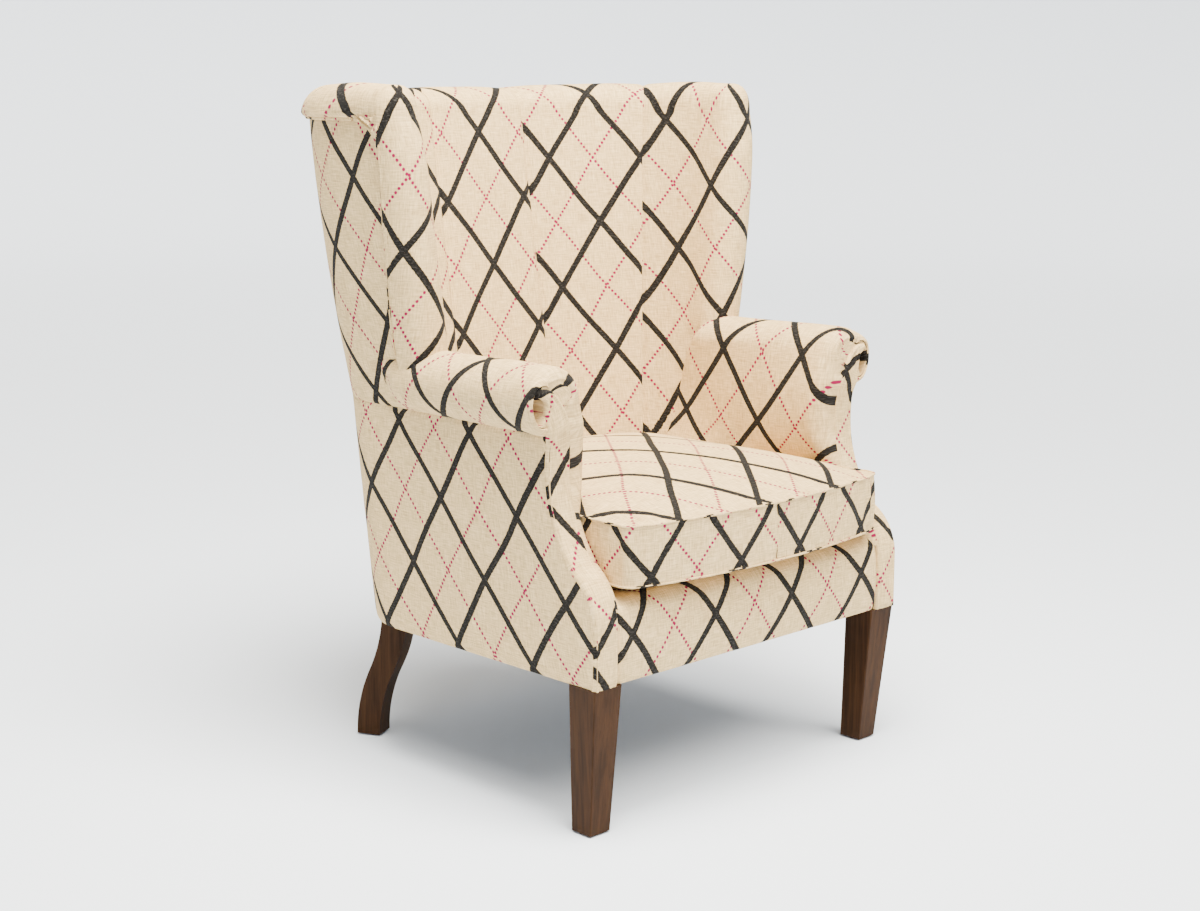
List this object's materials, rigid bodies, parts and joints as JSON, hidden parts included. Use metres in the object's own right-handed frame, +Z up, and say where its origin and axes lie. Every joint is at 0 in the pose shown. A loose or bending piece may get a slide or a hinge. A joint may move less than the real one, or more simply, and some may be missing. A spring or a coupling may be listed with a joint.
{
  "type": "upholstered_wing_chair",
  "caption": "High-backed wing armchair with a rounded back, scroll arms and a loose box cushion, in cream printed linen on brown wooden legs",
  "frame": {"origin": "on the floor, under the middle of the chair's bounding box", "axes": "+Z up, the sitter faces -Y, +X is the right-hand side of a person looking at the front of the chair"},
  "size_m": [0.804, 0.7991, 1.079],
  "materials": {
    "cream_print": "cream linen with a slubby weave, printed with charcoal chalky lines and raspberry dotted lines",
    "frame_beech": "sawn hardwood, unfinished",
    "stained_leg": "mid-brown stained hardwood, fine upright grain, satin",
    "spring_steel": "bright drawn steel",
    "woven_webbing": "elastic webbing, woven",
    "black_underlining": "thin black non-woven cloth",
    "deck_lining": "plain calico over felt",
    "zip_tape": "woven cream tape with a nylon coil",
    "zip_metal": "dull brass",
    "glide_plastic": "black moulded plastic"
  },
  "bodies": {
    "chair": {"arm_facing_left": "cream_print", "arm_facing_right": "cream_print", "arm_post_left": "frame_beech", "arm_post_right": "frame_beech", "arm_rail_left": "frame_beech", "arm_rail_right": "frame_beech", "back_post_left": "frame_beech", "back_post_right": "frame_beech", "back_rail": "frame_beech", "back_webbing": "woven_webbing", "back_welt": "cream_print", "corner_blocks": "frame_beech", "dust_cover": "black_underlining", "front_border": "cream_print", "front_leg_left": "stained_leg", "front_leg_right": "stained_leg", "front_rail": "frame_beech", "glides": "glide_plastic", "inside_arm_left": "cream_print", "inside_arm_right": "cream_print", "inside_back_centre": "cream_print", "inside_back_left": "cream_print", "inside_back_right": "cream_print", "inside_wing_left": "cream_print", "inside_wing_right": "cream_print", "leg_bolts": "spring_steel", "lower_back_rail": "frame_beech", "outside_arm_left": "cream_print", "outside_arm_right": "cream_print", "outside_back": "cream_print", "outside_wing_left": "cream_print", "outside_wing_right": "cream_print", "rear_leg_left": "stained_leg", "rear_leg_right": "stained_leg", "seat_deck": "deck_lining", "seat_springs": "spring_steel", "side_rail_left": "frame_beech", "side_rail_right": "frame_beech", "spring_clips": "spring_steel", "top_rail": "frame_beech", "wing_post_left": "frame_beech", "wing_post_right": "frame_beech", "wing_rail_left": "frame_beech", "wing_rail_right": "frame_beech", "wing_welt_left": "cream_print", "wing_welt_right": "cream_print"},
    "seat_cushion": {"seat_cushion": "cream_print", "cushion_zip": "zip_tape"},
    "zip_slider": {"zip_slider": "zip_metal"},
    "zip_pull": {"zip_pull": "zip_metal"}
  },
  "joints": [
    {"name": "cushion_slide", "type": "slide", "parent": "chair", "child": "seat_cushion", "axis": [0, -1, 0], "range_m": [0, 0.62]},
    {"name": "zip_travel", "type": "hinge", "parent": "seat_cushion", "child": "zip_slider", "pos_m": [0, -0.429, 0.417], "axis": [0, 0, 1], "range_deg": [0, 31.5]},
    {"name": "pull_swing", "type": "hinge", "parent": "zip_slider", "child": "zip_pull", "pos_m": [0.17417, 0.14788, 0.417], "axis": [0, 0, -1], "range_deg": [0, 10]}
  ]
}
